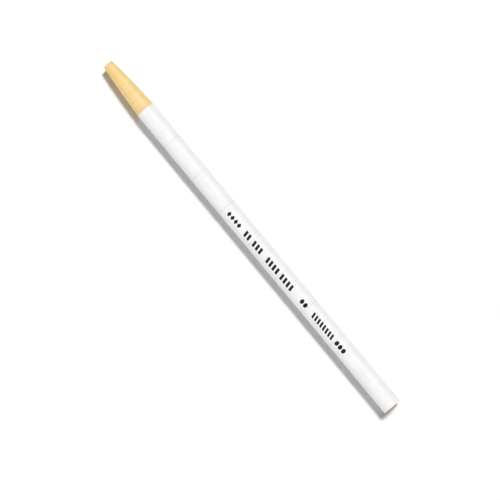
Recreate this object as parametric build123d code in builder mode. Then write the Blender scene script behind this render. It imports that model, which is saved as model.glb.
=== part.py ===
from build123d import *
import os
from math import cos, radians, sin

# China marker with a paper wrapper: a wax core in wound kraft paper that is ground to a point,
# under a white cover that tear lines part into bands, with a pull string to slit the bands.
# It lies along X on the plane Z = 0, point towards -X, centred on the origin.

# Driving dimensions, in millimetres and degrees
section_count = 9  # tear-off sections behind the point
section_length = 16.6  # one section, from tear line to tear line
point_length = 23.1  # bare kraft point, from its tip to the first tear line
barrel_diameter = 7.9  # over the white cover
tip_diameter = 4.2  # square-cut end of the point
point_bulge = 0.2  # how far the point's side stands outside a straight taper, at mid-length
point_tapers = 3  # straight tapers that make up the bulged side
core_diameter = 3.6
core_chamfer = 0.15  # broken edge of the core at the tip
cover_thickness = 0.1
string_diameter = 0.4
string_angle = 210.0  # where the string lies round the barrel, from +Y towards +Z
ply_thickness = 0.34  # the wound strip
ply_parting = 0.06  # parting line between its outer turn and the turns inside, which are glued
free_turns = 1  # turns that the parting line sets free

# Clearances
core_clearance = 0.06  # core to wrapper, on the radius
cover_clearance = 0.02  # wrapper to cover, on the radius
string_clearance = 0.06  # string to its channel and to the cover
tear_gap = 0.1  # cut of a tear line, between one section and the next

# Sizes and places that follow from them
overall_length = point_length + section_count * section_length
tip_x = -overall_length / 2
barrel_radius = barrel_diameter / 2
tip_radius = tip_diameter / 2
core_radius = core_diameter / 2
string_radius = string_diameter / 2
axis_height = barrel_radius
cover_bore = barrel_radius - cover_thickness
roll_radius = cover_bore - cover_clearance
roll_bore = core_radius + core_clearance
string_offset = cover_bore - string_clearance - string_radius
channel_floor = string_offset - string_radius - string_clearance
channel_width = string_diameter + 2 * string_clearance
channel_align = (Align.MIN, Align.CENTER)
ply_pitch = ply_thickness + ply_parting
parting_start = channel_floor + ply_parting
parting_end = parting_start - free_turns * ply_pitch
string_direction = (0, cos(radians(string_angle)), sin(radians(string_angle)))
barrel_axis = Axis((0, 0, axis_height), (1, 0, 0))
side_plane = Plane(origin=(tip_x, 0, axis_height), x_dir=(1, 0, 0), z_dir=(0, -1, 0))

# Corners of the point's side, from the tip back: a straight taper plus the bulge
ground_side = []
for corner in range(point_tapers + 1):
    share = corner / point_tapers
    bulge = 4 * point_bulge * share * (1 - share)
    ground_side.append((share * point_length, tip_radius + share * (roll_radius - tip_radius) + bulge))

os.makedirs("parts", exist_ok=True)


def cross_plane(x):
    """The plane across the barrel at x, its own x axis towards the pull string."""
    return Plane(origin=(x, 0, axis_height), x_dir=string_direction, z_dir=(1, 0, 0))


def save(builder, name):
    """Label a finished piece and write it."""
    builder.part.label = name
    export_step(builder.part, f"parts/{name}.step")


# Core
with BuildPart() as wax_core:
    with BuildSketch(cross_plane(tip_x)):
        Circle(core_radius)
    extrude(amount=overall_length)
    chamfer(wax_core.edges().filter_by(GeomType.CIRCLE).sort_by(Axis.X)[0], core_chamfer)
save(wax_core, "wax_core")

# String, ground off flush where it runs out on the point's side
with BuildPart() as pull_string:
    with BuildSketch(cross_plane(tip_x)):
        with Locations((string_offset, 0)):
            Circle(string_radius)
    extrude(amount=overall_length)
    with BuildSketch(side_plane):
        with BuildLine():
            Polyline((0, 0), *ground_side, (overall_length, roll_radius), (overall_length, 0), close=True)
        make_face()
    revolve(axis=barrel_axis, mode=Mode.INTERSECT)
save(pull_string, "pull_string")

# Point
with BuildPart() as point_wrap:
    with BuildSketch(side_plane):
        with BuildLine():
            Polyline((0, roll_bore), *ground_side, (point_length, roll_bore), close=True)
        make_face()
    revolve(axis=barrel_axis)
    with BuildSketch(cross_plane(tip_x)):
        with Locations((channel_floor, 0)):
            Rectangle(barrel_radius, channel_width, align=channel_align)
    extrude(amount=point_length, mode=Mode.SUBTRACT)
save(point_wrap, "point_wrap")

# Sections: a wound roll and its cover band each
for number in range(1, section_count + 1):
    front_x = tip_x + point_length + (number - 1) * section_length + tear_gap
    wound_length = section_length - tear_gap

    with BuildPart() as wrap_roll:
        with BuildSketch(cross_plane(front_x)):
            Circle(roll_radius)
            Circle(roll_bore, mode=Mode.SUBTRACT)
            with Locations((channel_floor, 0)):
                Rectangle(barrel_radius, channel_width, align=channel_align, mode=Mode.SUBTRACT)
            # The parting line winds in from the channel's foot in half turns, whose centres lie to
            # either side of the axis in turn and whose radii shrink by half the pitch
            with BuildLine():
                for half_turn in range(2 * free_turns):
                    centre = (ply_pitch / 4 * (-1) ** half_turn, 0)
                    outer_wall = parting_start - ply_pitch / 4 - half_turn * ply_pitch / 2
                    from_angle = 180 * (half_turn % 2)
                    CenterArc(centre, outer_wall, from_angle, 180)
                    CenterArc(centre, outer_wall - ply_parting, from_angle, 180)
                Line((parting_start, 0), (parting_start - ply_parting, 0))
                Line((parting_end, 0), (parting_end - ply_parting, 0))
            make_face(mode=Mode.SUBTRACT)
        extrude(amount=wound_length)
    save(wrap_roll, f"wrap_roll_{number:02d}")

    with BuildPart() as cover_band:
        with BuildSketch(cross_plane(front_x)):
            Circle(barrel_radius)
            Circle(cover_bore, mode=Mode.SUBTRACT)
        extrude(amount=wound_length)
    save(cover_band, f"cover_band_{number:02d}")
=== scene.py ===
from math import asin, cos, pi, radians, sin

import bmesh
import bpy
from mathutils import Matrix, Vector


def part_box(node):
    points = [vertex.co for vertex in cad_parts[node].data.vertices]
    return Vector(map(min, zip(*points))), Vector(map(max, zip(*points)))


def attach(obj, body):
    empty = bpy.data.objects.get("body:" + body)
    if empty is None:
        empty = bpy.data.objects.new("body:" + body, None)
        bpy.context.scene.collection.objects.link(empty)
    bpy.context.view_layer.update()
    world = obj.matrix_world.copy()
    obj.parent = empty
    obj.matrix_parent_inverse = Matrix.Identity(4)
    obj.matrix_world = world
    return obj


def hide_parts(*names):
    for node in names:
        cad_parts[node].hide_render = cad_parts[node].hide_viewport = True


# China marker with a paper wrapper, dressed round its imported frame: white cover bands with torn ties,
# rolls of wound kraft, a ground kraft point, a wax core, a twisted pull string and plain ink marks.
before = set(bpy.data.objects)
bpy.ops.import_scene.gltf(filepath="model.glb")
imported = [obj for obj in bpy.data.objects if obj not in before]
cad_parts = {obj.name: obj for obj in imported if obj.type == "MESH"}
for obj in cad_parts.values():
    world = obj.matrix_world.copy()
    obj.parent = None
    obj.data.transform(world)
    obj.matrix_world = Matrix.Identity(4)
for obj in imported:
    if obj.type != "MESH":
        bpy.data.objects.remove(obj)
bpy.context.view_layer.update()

MM = 0.001
TURN = 2 * pi

# Sizes of the pieces
barrel_radius = 3.95 * MM
cover_wall = 0.1 * MM
cover_rim = 0.02 * MM  # rounding of a band's edges
lap_step = 0.03 * MM  # edge of the cover sheet where it laps over itself
lap_ramp = 0.12  # share of a turn in which the sheet comes back to the full radius
tie_count = 40  # paper ties round a tear line
tie_share = 0.66  # share of the tear line that the ties hold
tie_reach = 0.094 * MM
roll_radius = 3.83 * MM
roll_bore = 1.86 * MM
ply = 0.092 * MM  # kraft paper
ply_gap = 0.0065 * MM
core_radius = 1.8 * MM
core_edge = 0.15 * MM
tip_radius = 2.1 * MM
tip_edge = 0.05 * MM
point_bulge = 0.2 * MM
string_radius = 0.2 * MM
string_offset = 3.59 * MM
string_angle = radians(210)  # from +Y towards +Z
strand_count = 3
strand_pitch = 2.2 * MM
channel_floor = 3.33 * MM
channel_half = 0.26 * MM
ink_film = 0.008 * MM
ink_lift = 0.002 * MM

# Places from the frame
axis_height = barrel_radius
core_low, core_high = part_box("wax_core")
tip_x = core_low.x
tail_x = core_high.x
point_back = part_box("point_wrap")[1].x
point_length = point_back - tip_x
section_numbers = sorted(int(name[-2:]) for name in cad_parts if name.startswith("cover_band_"))
section_length = (tail_x - point_back) / len(section_numbers)
string_spin = string_angle + pi / 2  # the same angle from straight down, as the trees count it


class Wire:
    """A node socket: arithmetic adds Math nodes to its tree, and node() adds any other node."""

    def __init__(self, tree, socket=None):
        self.tree = tree
        self.socket = socket

    def node(self, kind, settings=None, inputs=None, output=0):
        made = self.tree.nodes.new(kind)
        for name, value in (settings or {}).items():
            setattr(made, name, value)
        open_inputs = [socket for socket in made.inputs if socket.enabled]
        for key, value in (inputs or {}).items():
            if isinstance(key, int):
                target = open_inputs[key]
            else:
                target = next(socket for socket in open_inputs if socket.name == key)
            if isinstance(value, Wire):
                self.tree.links.new(value.socket, target)
            elif isinstance(value, list):
                for wire in value:
                    self.tree.links.new(wire.socket, target)
            else:
                target.default_value = value
        open_outputs = [socket for socket in made.outputs if socket.enabled]
        if isinstance(output, str):
            return Wire(self.tree, next(socket for socket in open_outputs if socket.name == output))
        return Wire(self.tree, open_outputs[output] if open_outputs else None)

    def math(self, operation, *others):
        values = dict(enumerate((self, *others)))
        return self.node("ShaderNodeMath", {"operation": operation}, values)

    def reflected(self, operation, other):
        return self.node("ShaderNodeMath", {"operation": operation}, {0: other, 1: self})

    def __add__(self, other):
        return self.math("ADD", other)

    __radd__ = __add__

    def __sub__(self, other):
        return self.math("SUBTRACT", other)

    def __rsub__(self, other):
        return self.reflected("SUBTRACT", other)

    def __mul__(self, other):
        return self.math("MULTIPLY", other)

    __rmul__ = __mul__

    def __truediv__(self, other):
        return self.math("DIVIDE", other)

    def __rtruediv__(self, other):
        return self.reflected("DIVIDE", other)

    def __pow__(self, other):
        return self.math("POWER", other)

    def smooth(self, low, high):
        """0 at low and 1 at high, with a soft start and end."""
        ends = {"Value": self, "From Min": low, "From Max": high}
        return self.node("ShaderNodeMapRange", {"interpolation_type": "SMOOTHSTEP"}, ends)

    def parts(self):
        """The three numbers of a vector."""
        split = self.node("ShaderNodeSeparateXYZ", None, {"Vector": self})
        return [Wire(self.tree, socket) for socket in split.socket.node.outputs]

    def vector(self, x, y, z):
        return self.node("ShaderNodeCombineXYZ", None, {"X": x, "Y": y, "Z": z})


def seen(red, green, blue):
    """A colour as it looks on a screen, 0 to 255, in Blender's linear values."""
    def linear(level):
        share = level / 255
        return share / 12.92 if share <= 0.04045 else ((share + 0.055) / 1.055) ** 2.4
    return (linear(red), linear(green), linear(blue), 1.0)


# Finishes

def new_finish(name):
    """A new material, and a wire with its Object coordinates."""
    material = bpy.data.materials.new(name)
    material.use_nodes = True
    material.node_tree.nodes.clear()
    return material, Wire(material.node_tree).node("ShaderNodeTexCoord", None, None, "Object")


def grain(place, scale, detail, stretch=(1, 1, 1)):
    """Noise of about 1/scale metres, drawn out along the axes that stretch makes small."""
    drawn = place.node("ShaderNodeVectorMath", {"operation": "MULTIPLY"}, {0: place, 1: stretch})
    return drawn.node("ShaderNodeTexNoise", None, {"Vector": drawn, "Scale": scale, "Detail": detail})


def blend(factor, first, second):
    """The first colour where factor is 0, and the second where it is 1."""
    ends = {"Factor": factor, "A": first, "B": second}
    return factor.node("ShaderNodeMix", {"data_type": "RGBA"}, ends)


def close_finish(material, colour, roughness, height, relief, constants):
    """Join colour, roughness and a height, as deep as relief, to the shader, with its plain numbers."""
    bump = height.node("ShaderNodeBump", None, {"Height": height, "Strength": 1.0, "Distance": relief})
    sockets = {"Base Color": colour, "Roughness": roughness, "Normal": bump, **constants}
    shader = colour.node("ShaderNodeBsdfPrincipled", None, sockets)
    shader.node("ShaderNodeOutputMaterial", None, {"Surface": shader})
    return material


def round_barrel(place):
    """Place along the barrel, distance from its axis, and share of a turn round it."""
    x, y, z = place.parts()
    up = z - axis_height
    radius = (y * y + up * up).math("SQRT")
    share = y.math("ARCTAN2", up) / TURN
    return x, radius, share


def cut_across(place):
    """1 on faces that are cut square across the barrel."""
    along = place.node("ShaderNodeNewGeometry", None, None, "Normal").parts()[0]
    return along.math("ABSOLUTE").smooth(0.8, 0.97)


def saw_marks(place):
    """Fine straight marks from the cut-off blade."""
    return grain(place, 5200, 4, (1.0, 0.08, 1.0)).smooth(0.4, 0.75)


def coated_paper():
    """White cover stock: a faint mottle, fine fibres, and soiled, softened edges at the tear lines."""
    material, place = new_finish("coated_paper")
    x, radius, share = round_barrel(place)
    sheet = place.vector(x, share * (TURN * barrel_radius), radius)
    mottle = grain(place, 260, 4)
    fibres = grain(sheet, 2600, 5, (0.35, 1.0, 1.0))
    specks = grain(sheet, 1500, 2).smooth(0.69, 0.75)
    from_tear = ((x - point_back) / section_length).math("FRACT")
    to_tear = from_tear.math("MINIMUM", 1 - from_tear) * section_length
    scuff = (1 - to_tear.smooth(0.0, 0.3 * MM)) * grain(place, 900, 4).smooth(0.35, 0.7)
    white = blend(mottle.smooth(0.3, 0.7), seen(247, 247, 246), seen(252, 252, 251))
    fibred = blend(fibres.smooth(0.5, 0.75) * 0.35, white, seen(236, 235, 231))
    flecked = blend(specks * 0.3, fibred, seen(214, 210, 200))
    colour = blend(scuff * 0.15, flecked, seen(206, 202, 194))
    roughness = 0.4 + fibres * 0.12 + scuff * 0.2
    height = fibres * 0.7 + mottle * 0.6
    return close_finish(material, colour, roughness, height, 0.03 * MM, {"Specular IOR Level": 0.3})


def kraft_paper():
    """Wound kraft: the edges of its plies in a spiral, long fibres, and warm uneven colour."""
    material, place = new_finish("kraft_paper")
    x, radius, share = round_barrel(place)
    turns = (radius - roll_bore) / (ply + ply_gap) - share
    edge = (turns.math("FRACT") - 0.5).math("ABSOLUTE").smooth(0.36, 0.5)
    tone = turns.node("ShaderNodeTexWhiteNoise", {"noise_dimensions": "1D"}, {"W": turns.math("FLOOR")})
    end = cut_across(place)
    sheet = place.vector(x, share * (TURN * roll_radius), radius)
    fibres = grain(sheet, 1500, 6, (1.0, 0.22, 1.0))
    flecks = grain(sheet, 2100, 3, (1.0, 0.3, 1.0)).smooth(0.66, 0.74)
    cloud = grain(place, 240, 4)
    # Darker brown in noisy patches from 0.1 to 0.7 mm behind the tip's front rim.
    tip_rim_darkening = (1 - (x - tip_x).smooth(0.1 * MM, 0.7 * MM)) * grain(place, 700, 3).smooth(0.3, 0.65)
    tan_paper = blend(cloud.smooth(0.3, 0.72), seen(249, 212, 139), seen(251, 222, 156))
    fibred = blend(fibres.smooth(0.4, 0.75) * 0.3, tan_paper, seen(247, 198, 118))
    toned = blend(tone * (0.07 + end * 0.15), fibred, seen(222, 172, 104))
    plied = blend(edge * (0.08 + end * 0.3), toned, seen(196, 140, 76))
    flecked = blend(flecks * 0.3, plied, seen(176, 122, 66))
    sawn = saw_marks(place) * end
    cut = blend(sawn * 0.12, flecked, seen(216, 166, 98))
    colour = blend(tip_rim_darkening * 0.45, cut, seen(120, 80, 38))
    roughness = 0.46 + fibres * 0.12 + end * 0.2
    height = fibres * 0.8 - edge * 0.5 - sawn * 0.5
    return close_finish(material, colour, roughness, height, 0.014 * MM, {
        "Specular IOR Level": 0.8, "Subsurface Weight": 0.25, "Subsurface Radius": (1.0, 0.45, 0.15),
        "Subsurface Scale": 0.4 * MM})


def white_wax():
    """Pressed wax: milky, with faint draw lines, small pits, rubbed patches and smeared cut ends."""
    material, place = new_finish("white_wax")
    lines = grain(place, 1700, 4, (0.05, 1.0, 1.0))
    pits = grain(place, 1300, 2).smooth(0.66, 0.76)
    rubbed = grain(place, 320, 3).smooth(0.45, 0.7)
    smeared = grain(place, 1100, 4).smooth(0.4, 0.7) * cut_across(place)
    milky = blend(rubbed, seen(246, 244, 236), seen(250, 249, 243))
    pitted = blend(pits * 0.3, milky, seen(219, 215, 204))
    colour = blend(smeared * 0.25, pitted, seen(236, 231, 219))
    roughness = 0.34 + lines * 0.12 + rubbed * 0.12 + smeared * 0.15
    height = lines * 0.5 - pits - smeared * 0.4
    return close_finish(material, colour, roughness, height, 0.02 * MM, {
        "Subsurface Weight": 0.35, "Subsurface Radius": (1.0, 0.85, 0.6), "Subsurface Scale": 0.7 * MM})


def cotton():
    """Twisted thread: fine fibres along its strands and a soft sheen."""
    material, place = new_finish("cotton_thread")
    fibres = grain(place, 5200, 4, (0.3, 1.0, 1.0))
    cloud = grain(place, 500, 3)
    pale = blend(cloud, seen(232, 224, 205), seen(242, 237, 224))
    colour = blend(fibres.smooth(0.45, 0.75) * 0.5, pale, seen(205, 192, 166))
    roughness = 0.8 + fibres * 0.15
    return close_finish(material, colour, roughness, fibres, 0.02 * MM,
                        {"Sheen Weight": 0.3, "Sheen Roughness": 0.5})


def black_ink():
    """Stamped black ink, a little worn where fibres of the cover stand through it."""
    material, place = new_finish("black_ink")
    worn = grain(place, 3200, 4).smooth(0.66, 0.76)
    density = grain(place, 700, 3)
    black = blend(density, seen(8, 8, 13), seen(20, 20, 26))
    colour = blend(worn * 0.4, black, seen(110, 109, 108))
    roughness = 0.42 + density * 0.16
    return close_finish(material, colour, roughness, worn, 0.004 * MM, {"Specular IOR Level": 0.25})


# Growing pieces with Geometry Nodes

def new_tree(name, **inputs):
    """A geometry tree with named inputs, and a wire from each of them."""
    tree = bpy.data.node_groups.new(name, "GeometryNodeTree")
    for label, kind in inputs.items():
        tree.interface.new_socket(label, in_out="INPUT", socket_type="NodeSocket" + kind)
    tree.interface.new_socket("mesh", in_out="OUTPUT", socket_type="NodeSocketGeometry")
    source = tree.nodes.new("NodeGroupInput")
    return tree, {label: Wire(tree, source.outputs[label]) for label in inputs}


def close_tree(mesh, material):
    """End a tree with a real mesh in its finish."""
    real = mesh.node("GeometryNodeRealizeInstances", None, {"Geometry": mesh})
    dressed = real.node("GeometryNodeSetMaterial", None, {"Geometry": real, "Material": material})
    mesh.node("NodeGroupOutput", None, {0: dressed})


def lay_along(mesh, place):
    """Turn a mesh that stands on Z to lie along X, its start angle straight down, and move it to place."""
    return mesh.node("GeometryNodeTransform", None,
                     {"Geometry": mesh, "Translation": place, "Rotation": (0, pi / 2, 0)})


def moved(geometry, **inputs):
    settings = {name.title(): value for name, value in inputs.items()}
    return geometry.node("GeometryNodeSetPosition", None, {"Geometry": geometry, **settings})


def sweep(path, profile):
    """Carry a profile along a path, its own x axis away from Z."""
    upright = path.node("GeometryNodeSetCurveNormal", {"mode": "Z_UP"}, {"Curve": path})
    return upright.node("GeometryNodeCurveToMesh", None,
                        {"Curve": upright, "Profile Curve": profile, "Fill Caps": True})


def rectangle(start, width, height):
    return start.node("GeometryNodeCurvePrimitiveQuadrilateral", None, {"Width": width, "Height": height})


def finished(name, mesh, crease):
    """A piece at the origin, smooth except where its faces meet at more than crease degrees."""
    mesh.name = name
    mesh.shade_smooth()
    mesh.set_sharp_from_angle(angle=radians(crease))
    piece = bpy.data.objects.new(name, mesh)
    bpy.context.scene.collection.objects.link(piece)
    return piece


def grow(name, tree, crease=20, **values):
    """The plain mesh that a tree makes from these inputs, as a piece."""
    seed = bpy.data.objects.new(name + "_seed", bpy.data.meshes.new(name + "_seed"))
    bpy.context.scene.collection.objects.link(seed)
    modifier = seed.modifiers.new("grow", "NODES")
    modifier.node_group = tree
    for item in tree.interface.items_tree:
        if item.in_out == "INPUT":
            modifier[item.identifier] = values[item.name]
    graph = bpy.context.evaluated_depsgraph_get()
    mesh = bpy.data.meshes.new_from_object(seed.evaluated_get(graph), depsgraph=graph)
    bpy.data.objects.remove(seed)
    return finished(name, mesh, crease)


def cover_tree():
    """A band of the cover: a sleeve that laps over itself underneath, with torn ties on its front rim."""
    tree, size = new_tree("cover_band", length="Float", radius="Float", wall="Float", rim="Float",
                          lap="Float", ramp="Float", ties="Int", tie_share="Float", reach="Float",
                          place="Vector", material="Material")
    start = size["length"]
    points_per_tie = 9
    rim_points = 2  # cuts that round a corner of the wall
    seam = 0.001  # radians between the first and last points of the ring
    points = size["ties"] * points_per_tie + 1
    mid_wall = size["radius"] - size["wall"] / 2
    ring = start.node("GeometryNodeCurvePrimitiveCircle", None, {"Resolution": points, "Radius": mid_wall})
    index = start.node("GeometryNodeInputIndex")
    angle = index * (TURN - seam) / (points - 1) + seam / 2
    ring_place = start.vector(angle.math("COSINE") * mid_wall, angle.math("SINE") * mid_wall, 0.0)
    profile = rectangle(start, size["wall"], size["length"])
    rounded = profile.node("GeometryNodeFilletCurve", {"mode": "POLY"},
                           {"Curve": profile, "Count": rim_points, "Radius": size["rim"]})
    sleeve = sweep(moved(ring, position=ring_place), rounded)
    x, y, z = start.node("GeometryNodeInputPosition").parts()
    radius = (x * x + y * y).math("SQRT")
    share = (y.math("ARCTAN2", x) / TURN).math("FRACT")
    outside = radius.math("GREATER_THAN", mid_wall)
    drop = (1 - share.smooth(0.0, size["ramp"])) * size["lap"] * outside / radius
    tie = (share * size["ties"]).math("FRACT").math("LESS_THAN", size["tie_share"])
    at_front = z.math("LESS_THAN", size["rim"] * 2 - size["length"] / 2)
    shift = start.vector(x * drop * -1.0, y * drop * -1.0, tie * at_front * size["reach"] * -1.0)
    close_tree(lay_along(moved(sleeve, offset=shift), size["place"]), size["material"])
    return tree


def roll_tree():
    """A roll of wound paper: one spiral strip, whose outer turns stop at the string channel's walls."""
    tree, size = new_tree("wound_roll", length="Float", bore="Float", radius="Float", ply="Float",
                          gap="Float", floor="Float", half="Float", spin="Float", place="Vector",
                          material="Material")
    start = size["length"]
    points_per_turn = 72
    near_channel = 3  # half widths of the channel, within which a loose end belongs to it
    half_ply = size["ply"] / 2
    turns = (size["radius"] - size["bore"]) / (size["ply"] + size["gap"])
    spiral = start.node("GeometryNodeCurveSpiral", None, {
        "Resolution": points_per_turn, "Rotations": turns, "Height": 0.0,
        "Start Radius": size["bore"] + half_ply, "End Radius": size["radius"] - half_ply})
    line = spiral.node("GeometryNodeCurveToMesh", None, {"Curve": spiral})
    x, y, z = start.node("GeometryNodeInputPosition").parts()
    east, north = size["spin"].math("COSINE"), size["spin"].math("SINE")
    along = x * east + y * north
    across = y * east - x * north
    outer = along.math("GREATER_THAN", size["floor"] - half_ply)
    in_channel = outer * across.math("ABSOLUTE").math("LESS_THAN", size["half"])
    cut = line.node("GeometryNodeDeleteGeometry", None, {"Geometry": line, "Selection": in_channel})
    strips = cut.node("GeometryNodeMeshToCurve", None, {"Mesh": cut})
    ends = start.node("GeometryNodeCurveEndpointSelection")
    near = across.math("ABSOLUTE").math("LESS_THAN", size["half"] * near_channel)
    at_channel = ends * outer * near
    aside = across.math("SIGN") * size["half"]
    depth = (x * x + y * y - aside * aside).math("SQRT")
    wall_place = start.vector(depth * east - aside * north, depth * north + aside * east, 0.0)
    trimmed = moved(strips, selection=at_channel, position=wall_place)
    wound = sweep(trimmed, rectangle(start, size["ply"], size["length"]))
    close_tree(lay_along(wound, size["place"]), size["material"])
    return tree


def ground_share(radius):
    """How far back along the point, as a share of it, its ground side has this radius."""
    rise = roll_radius - tip_radius + 4 * point_bulge
    root = rise * rise - 16 * point_bulge * (radius - tip_radius)
    return (rise - (root.math("SQRT") if isinstance(root, Wire) else root ** 0.5)) / (8 * point_bulge)


def string_tree():
    """A twisted string along the channel, ground off flush with the point's side."""
    tree, size = new_tree("pull_string", start="Float", length="Float", radius="Float", offset="Float",
                          spin="Float", strands="Int", pitch="Float", place="Vector", material="Material")
    begin = size["length"]
    points_per_twist = 14
    strand_sides = 8
    strand_share = 0.464  # radius of one of three strands that just fill the string
    front = begin.vector(0.0, 0.0, size["start"])
    back = begin.vector(0.0, 0.0, size["length"])
    axis = begin.node("GeometryNodeCurvePrimitiveLine", None, {"Start": front, "End": back})
    count = (size["length"] - size["start"]) / size["pitch"] * points_per_twist
    fine = axis.node("GeometryNodeResampleCurve", None, {"Curve": axis, "Count": count})
    copies = fine.node("GeometryNodeDuplicateElements", {"domain": "SPLINE"},
                       {"Geometry": fine, "Amount": size["strands"]})
    number = Wire(tree, copies.socket.node.outputs["Duplicate Index"])
    x, y, z = begin.node("GeometryNodeInputPosition").parts()
    twist = z / size["pitch"] * TURN + number / size["strands"] * TURN
    reach = size["radius"] * (1 - strand_share)
    middle_x = size["offset"] * size["spin"].math("COSINE")
    middle_y = size["offset"] * size["spin"].math("SINE")
    strand_place = begin.vector(middle_x + reach * twist.math("COSINE"),
                                middle_y + reach * twist.math("SINE"), z)
    strand = begin.node("GeometryNodeCurvePrimitiveCircle", None,
                        {"Resolution": strand_sides, "Radius": size["radius"] * strand_share})
    path = moved(copies, position=strand_place)
    strung = path.node("GeometryNodeCurveToMesh", None,
                       {"Curve": path, "Profile Curve": strand, "Fill Caps": True})
    side = ground_share((x * x + y * y).math("SQRT")) * point_length
    flush = begin.vector(x, y, z.math("MAXIMUM", side).math("MINIMUM", size["length"]))
    close_tree(lay_along(moved(strung, position=flush), size["place"]), size["material"])
    return tree


def mark_tree():
    """A row of ink marks, each a bar, dot or diamond, bent round the barrel as a thin film."""
    tree, size = new_tree("ink_marks", count="Int", first="Float", pitch="Float", width="Float",
                          height="Float", squareness="Float", slant="Float", turned="Float",
                          radius="Float", film="Float", material="Material")
    start = size["pitch"]
    merge = 0.0005 * MM
    points_round = 41
    points_out = 6
    flat = start.node("GeometryNodeMeshGrid", None, {
        "Size X": 1.0, "Size Y": 1.0, "Vertices X": points_round, "Vertices Y": points_out})
    x, y, z = start.node("GeometryNodeInputPosition").parts()
    east, north = (x * -TURN).math("COSINE"), (x * -TURN).math("SINE")
    power = size["squareness"]
    corners = east.math("ABSOLUTE") ** power + north.math("ABSOLUTE") ** power
    out = (y + 0.5) / corners ** (1 / power)
    rise = out * north * size["height"] / 2
    aside = out * east * size["width"] / 2 + rise * size["slant"].math("TANGENT")
    outline = start.vector(aside, rise, 0.0)
    shaped = moved(flat, position=outline)
    mark = shaped.node("GeometryNodeMergeByDistance", None, {"Geometry": shaped, "Distance": merge})
    raised = mark.node("GeometryNodeExtrudeMesh", None, {
        "Mesh": mark, "Offset": (0, 0, 1), "Offset Scale": size["film"], "Individual": False})
    under = mark.node("GeometryNodeFlipFaces", None, {"Mesh": mark})
    both = mark.node("GeometryNodeJoinGeometry", None, {"Geometry": [raised, under]})
    closed = both.node("GeometryNodeMergeByDistance", None, {"Geometry": both, "Distance": merge})
    row = start.node("GeometryNodeMeshLine", None, {
        "Count": size["count"], "Start Location": start.vector(size["first"], 0.0, 0.0),
        "Offset": start.vector(size["pitch"], 0.0, 0.0)})
    stamped = row.node("GeometryNodeInstanceOnPoints", None, {"Points": row, "Instance": closed})
    real = stamped.node("GeometryNodeRealizeInstances", None, {"Geometry": stamped})
    away = z + size["radius"]
    round_angle = y / size["radius"] + size["turned"]
    bent = start.vector(x, away * round_angle.math("SINE"), away * round_angle.math("COSINE") + axis_height)
    close_tree(moved(real, position=bent), size["material"])
    return tree


# Pieces turned on the barrel's axis

def turned(name, profile, angles, radius_at, material):
    """A closed skin over rings on the barrel's axis, one for each (x, radius) of a closed profile.
    A radius of 0 makes a pole."""
    weld = 0.0002 * MM
    mesh = bpy.data.meshes.new(name)
    skin = bmesh.new()
    rings = []
    for x, radius in profile:
        around = [radius_at(radius, angle) for angle in angles]
        rings.append([skin.verts.new((x, out * cos(angle), axis_height + out * sin(angle)))
                      for angle, out in zip(angles, around)])
    for ring, after in zip(rings, rings[1:] + rings[:1]):
        for here in range(len(angles)):
            ahead = (here + 1) % len(angles)
            skin.faces.new((ring[here], ring[ahead], after[ahead], after[here]))
    bmesh.ops.remove_doubles(skin, verts=skin.verts, dist=weld)
    bmesh.ops.dissolve_degenerate(skin, edges=skin.edges, dist=weld)
    bmesh.ops.recalc_face_normals(skin, faces=skin.faces)
    skin.to_mesh(mesh)
    skin.free()
    mesh.materials.append(material)
    return finished(name, mesh, crease=35)


def spaced(first, last, count):
    """Numbers from first to last, both included."""
    return [first + (last - first) * step / (count - 1) for step in range(count)]


def broken_edge(radius, rounding, rings):
    """The rounded edge of a piece's front at the tip, from its face out to its side."""
    return [(tip_x + rounding * (1 - cos(bend)), radius - rounding * (1 - sin(bend)))
            for bend in spaced(0, pi / 2, rings)]


def kraft_point(material):
    """The ground point: a bulged taper with a broken front edge, a bore for the core and a channel
    for the string."""
    side_rings = 61
    edge_rings = 6
    back_rings = 9
    front_rings = 3
    slot_points = 5
    round_points = 150
    side = []
    for share in spaced(0, 1, side_rings):
        bulge = 4 * point_bulge * share * (1 - share)
        straight = tip_radius + share * (roll_radius - tip_radius)
        side.append((tip_x + share * point_length, straight + bulge))
    edge = broken_edge(tip_radius, tip_edge, edge_rings)
    back = [(point_back, radius) for radius in spaced(roll_radius, roll_bore, back_rings)[1:]]
    front = [(tip_x, radius) for radius in spaced(roll_bore, tip_radius - tip_edge, front_rings)[:-1]]
    profile = edge + [place for place in side if place[0] > edge[-1][0]] + back + front
    sliver = radians(0.02)
    slot = asin(channel_half / string_offset)
    in_slot = spaced(-slot + sliver, slot - sliver, slot_points)
    beside_slot = spaced(slot + sliver, TURN - slot - sliver, round_points)
    angles = [string_angle + turn for turn in in_slot + beside_slot]

    def channelled(radius, angle):
        away = angle - string_angle
        return min(radius, channel_floor / cos(away)) if away < slot else radius
    return turned("kraft_point", profile, angles, channelled, material)


def wax_rod(material):
    """The core, with a broken edge at the tip and a square-cut tail."""
    side_rings = 40
    edge_rings = 7
    round_points = 96
    tip_end = [(tip_x, 0.0)] + broken_edge(core_radius, core_edge, edge_rings)
    side = [(x, core_radius) for x in spaced(tip_x, tail_x, side_rings)[1:-1]]
    tail_end = [(tail_x, core_radius), (tail_x, 0.0)]
    angles = spaced(0, TURN, round_points + 1)[:-1]
    return turned("wax_rod", tip_end + side + tail_end, angles, lambda radius, angle: radius, material)


# Dressing the bodies

def dress(piece, body, node=None):
    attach(piece, body)
    if node:
        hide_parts(node)


kraft = kraft_paper()
cover = coated_paper()
wax = white_wax()
thread = cotton()
ink = black_ink()

dress(kraft_point(kraft), "point", "point_wrap")
dress(wax_rod(wax), "core", "wax_core")
string_start = ground_share(string_offset - string_radius) * point_length
string = grow("twisted_string", string_tree(), crease=60, start=string_start, length=tail_x - tip_x,
              radius=string_radius, offset=string_offset, spin=string_spin, strands=strand_count,
              pitch=strand_pitch, place=(tip_x, 0, axis_height), material=thread)
dress(string, "core", "pull_string")

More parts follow.
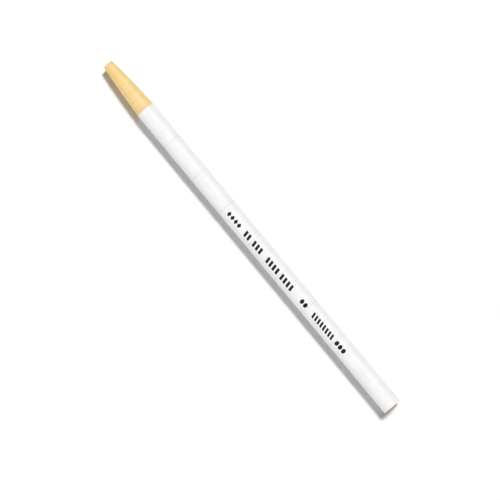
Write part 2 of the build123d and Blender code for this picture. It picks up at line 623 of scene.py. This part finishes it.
cover_maker = cover_tree()
roll_maker = roll_tree()
for number in section_numbers:
    body = f"section_{number:02d}"
    low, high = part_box(f"cover_band_{number:02d}")
    band_place = ((low.x + high.x) / 2, 0, axis_height)
    reach = 0.0 if number == section_numbers[0] else tie_reach
    band = grow(f"cover_sheet_{number:02d}", cover_maker, length=high.x - low.x, radius=barrel_radius,
                wall=cover_wall, rim=cover_rim, lap=lap_step, ramp=lap_ramp, ties=tie_count,
                tie_share=tie_share, reach=reach, place=band_place, material=cover)
    dress(band, body, f"cover_band_{number:02d}")
    roll = grow(f"kraft_roll_{number:02d}", roll_maker, length=high.x - low.x, bore=roll_bore,
                radius=roll_radius, ply=ply, gap=ply_gap, floor=channel_floor, half=channel_half,
                spin=string_spin, place=band_place, material=kraft)
    dress(roll, body, f"wrap_roll_{number:02d}")

# Kinds of ink mark: width and height in millimetres, squareness, and slant in degrees
mark_kinds = {
    "bar": (1.1, 2.5, 30.0, -10),
    "slim_bar": (0.9, 2.3, 30.0, -14),
    "dot": (1.6, 2.1, 2.0, 0),
    "diamond": (1.7, 2.3, 1.0, 0),
}
# Rows of marks: section, place of the first mark from the tip, count, pitch in millimetres, and kind
mark_rows = [
    (4, 75.8, 4, 1.95, "diamond"),
    (4, 85.8, 2, 1.85, "bar"),
    (5, 90.8, 3, 1.85, "bar"),
    (5, 99.0, 4, 1.85, "bar"),
    (6, 107.4, 4, 1.85, "bar"),
    (6, 119.6, 2, 1.95, "dot"),
    (7, 126.5, 8, 1.55, "slim_bar"),
    (8, 140.4, 3, 1.95, "dot"),
]
marks_turned = radians(-14)  # round the barrel from its top
mark_maker = mark_tree()
for row, (section, first, count, pitch, kind) in enumerate(mark_rows, 1):
    width, height, squareness, slant = mark_kinds[kind]
    marks = grow(f"ink_{kind}s_{row:02d}", mark_maker, count=count, first=tip_x + first * MM,
                 pitch=pitch * MM, width=width * MM, height=height * MM, squareness=squareness,
                 slant=radians(slant), turned=marks_turned, radius=barrel_radius + ink_lift,
                 film=ink_film, material=ink)
    dress(marks, f"section_{section:02d}")


# Stage: floor, light and camera

# Light on a surface that faces the lamp or the sky, where 1 shows a colour as it is written
key_level = 0.61
left_level = 0.55
right_level = 0.21
sky_level = 0.12
key_toward = Vector((-0.17, 0.49, 0.855))  # from the marker to the lamp
left_toward = Vector((-0.30, -0.88, 0.6))
right_toward = Vector((0.6, 0.75, 0.25))
key_spread = 14  # degrees across the lamp, seen from the marker
low_spread = 40  # the same for the left and right lamps
floor_colour = 1.6  # as the camera sees it, so that lit floor is white
floor_bounce = 0.8  # as it lights the marker


def on_screen(start):
    """1 for rays that show a thing to the camera, straight or in gloss or glass."""
    rays = start.node("ShaderNodeLightPath").socket.node.outputs
    straight, glossy, clear = (Wire(start.tree, rays[name]) for name in
                               ("Is Camera Ray", "Is Glossy Ray", "Is Transmission Ray"))
    return straight.math("MAXIMUM", glossy).math("MAXIMUM", clear)


def pale_floor():
    half = 4.0
    corners = [(-half, -half, 0), (half, -half, 0), (half, half, 0), (-half, half, 0)]
    mesh = bpy.data.meshes.new("floor")
    mesh.from_pydata(corners, [], [(0, 1, 2, 3)])
    material = bpy.data.materials.new("pale_floor")
    material.use_nodes = True
    material.node_tree.nodes.clear()
    start = Wire(material.node_tree)
    level = on_screen(start) * (floor_colour - floor_bounce) + floor_bounce
    shader = start.node("ShaderNodeBsdfDiffuse", None, {"Color": level})
    shader.node("ShaderNodeOutputMaterial", None, {"Surface": shader})
    mesh.materials.append(material)
    floor = bpy.data.objects.new("floor", mesh)
    bpy.context.scene.collection.objects.link(floor)
    return floor


def lamp(name, level, toward, spread):
    light = bpy.data.lights.new(name, "SUN")
    light.energy = level * pi
    light.angle = radians(spread)
    stand = bpy.data.objects.new(name, light)
    stand.rotation_mode = "QUATERNION"
    stand.rotation_quaternion = toward.to_track_quat("Z", "Y")
    bpy.context.scene.collection.objects.link(stand)
    return stand


def soft_light(floor):
    """A key lamp over the right shoulder, two low lamps that fill the marker's sides but not its
    shadow on the floor, and a pale sky."""
    lamp("key_lamp", key_level, key_toward, key_spread)
    low_lamps = [lamp("left_lamp", left_level, left_toward, low_spread),
                 lamp("right_lamp", right_level, right_toward, low_spread)]
    unlit = bpy.data.collections.new("unlit_by_low_lamps")
    unlit.objects.link(floor)
    unlit.collection_objects[0].light_linking.link_state = "EXCLUDE"
    for low_lamp in low_lamps:
        low_lamp.visible_glossy = False
        low_lamp.light_linking.receiver_collection = unlit
    world = bpy.data.worlds.new("studio")
    world.use_nodes = True
    world.node_tree.nodes.clear()
    start = Wire(world.node_tree)
    strength = on_screen(start) * (1 - sky_level) + sky_level
    sky = start.node("ShaderNodeBackground", None, {"Color": (1, 1, 1, 1), "Strength": strength})
    sky.node("ShaderNodeOutputWorld", None, {"Surface": sky})
    bpy.context.scene.world = world


def photo_camera():
    """Above the marker, its tip to the upper left and a little further away."""
    frame_pixels = 500
    marker_pixels = 445.2  # length of the marker in the frame
    marker_middle = Vector((249.1, 234.0))  # pixels from the upper left
    lean = radians(5)
    across = Vector((0.6387, -0.7694))  # the marker's axis, from tip to tail, right and up in the frame
    lens = bpy.data.cameras.new("camera")
    lens.lens = 150
    lens.sensor_width = 36
    pixel = (tail_x - tip_x) * cos(lean) / marker_pixels
    distance = frame_pixels * pixel * lens.lens / lens.sensor_width
    back = Vector((sin(lean), 0, cos(lean)))
    along = Vector((cos(lean), 0, -sin(lean)))
    side = Vector((0, 1, 0))
    right = across.x * along - across.y * side
    up = across.y * along + across.x * side
    offset = marker_middle - Vector((frame_pixels, frame_pixels)) / 2
    aim = Vector((0, 0, axis_height)) - offset.x * pixel * right + offset.y * pixel * up
    camera = bpy.data.objects.new("camera", lens)
    turn = Matrix((right, up, back)).transposed().to_4x4()
    camera.matrix_world = Matrix.Translation(aim + back * distance) @ turn
    lens.clip_start = distance / 100
    lens.clip_end = distance * 100
    bpy.context.scene.collection.objects.link(camera)
    bpy.context.scene.camera = camera


soft_light(pale_floor())
photo_camera()
bpy.context.scene.view_settings.view_transform = "Standard"
